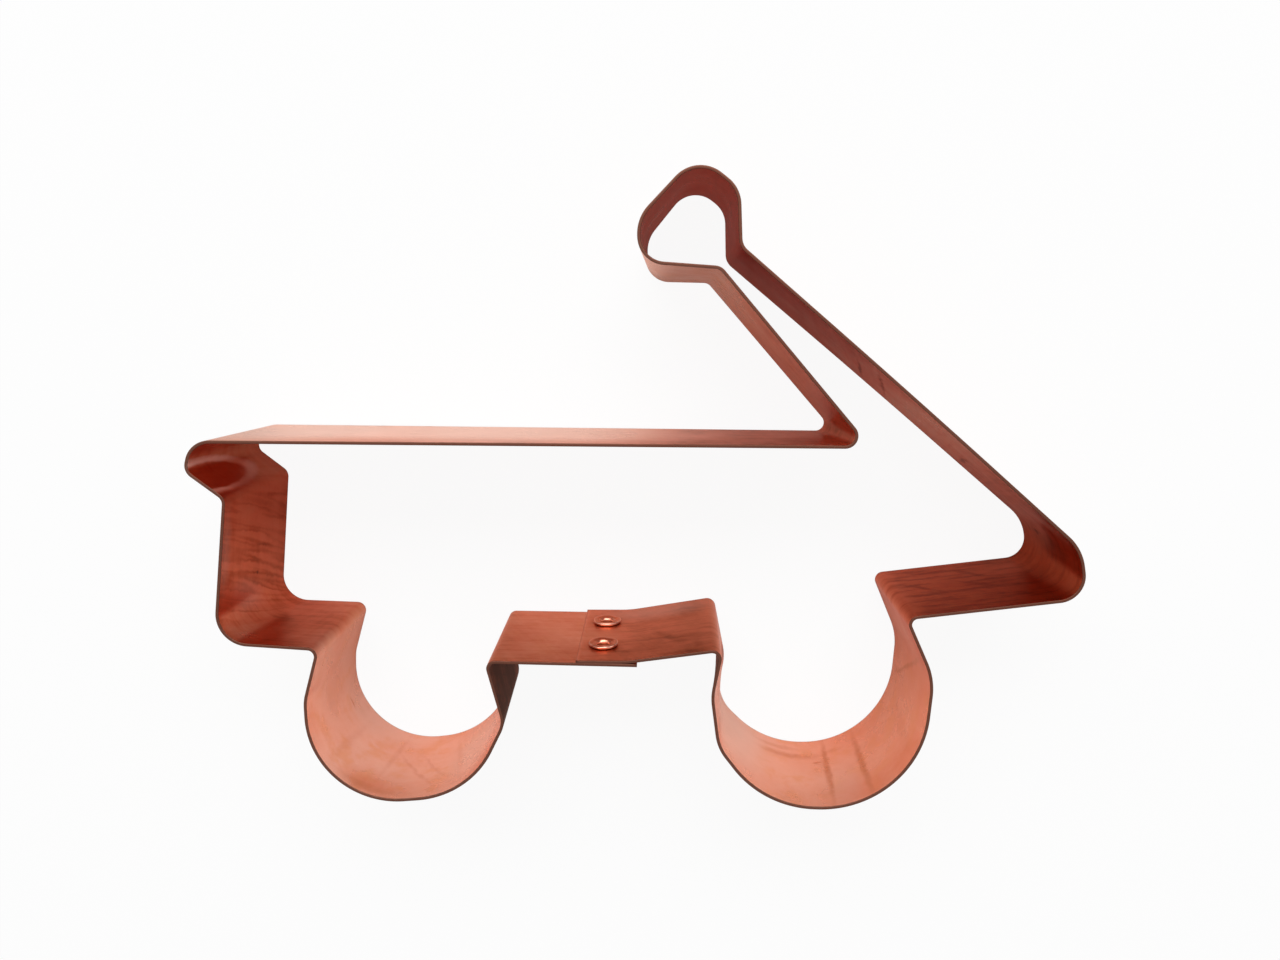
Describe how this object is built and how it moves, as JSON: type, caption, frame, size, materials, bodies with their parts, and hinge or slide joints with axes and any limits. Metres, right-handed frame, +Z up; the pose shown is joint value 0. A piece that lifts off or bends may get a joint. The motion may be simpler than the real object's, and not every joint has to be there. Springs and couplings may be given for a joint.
{
  "type": "cookie cutter",
  "caption": "Open cookie cutter: a thin metal strip on edge, bent to the outline of a pull-along wagon with wheels and a looped handle, its ends lapped and riveted.",
  "frame": {"origin": "centre of the outline's bounding box, in the plane of the lower edge that the cutter stands on", "axes": "+X along the wagon from its front wall towards its rear end, +Y from the wheels towards the handle's loop, +Z up across the strip's width"},
  "size_m": [0.1414, 0.1014, 0.0254],
  "materials": {
    "strip": null,
    "rivet": null
  },
  "bodies": {
    "root": {"cutter_band": "strip", "rivet_lower": "rivet", "rivet_upper": "rivet"}
  },
  "joints": []
}
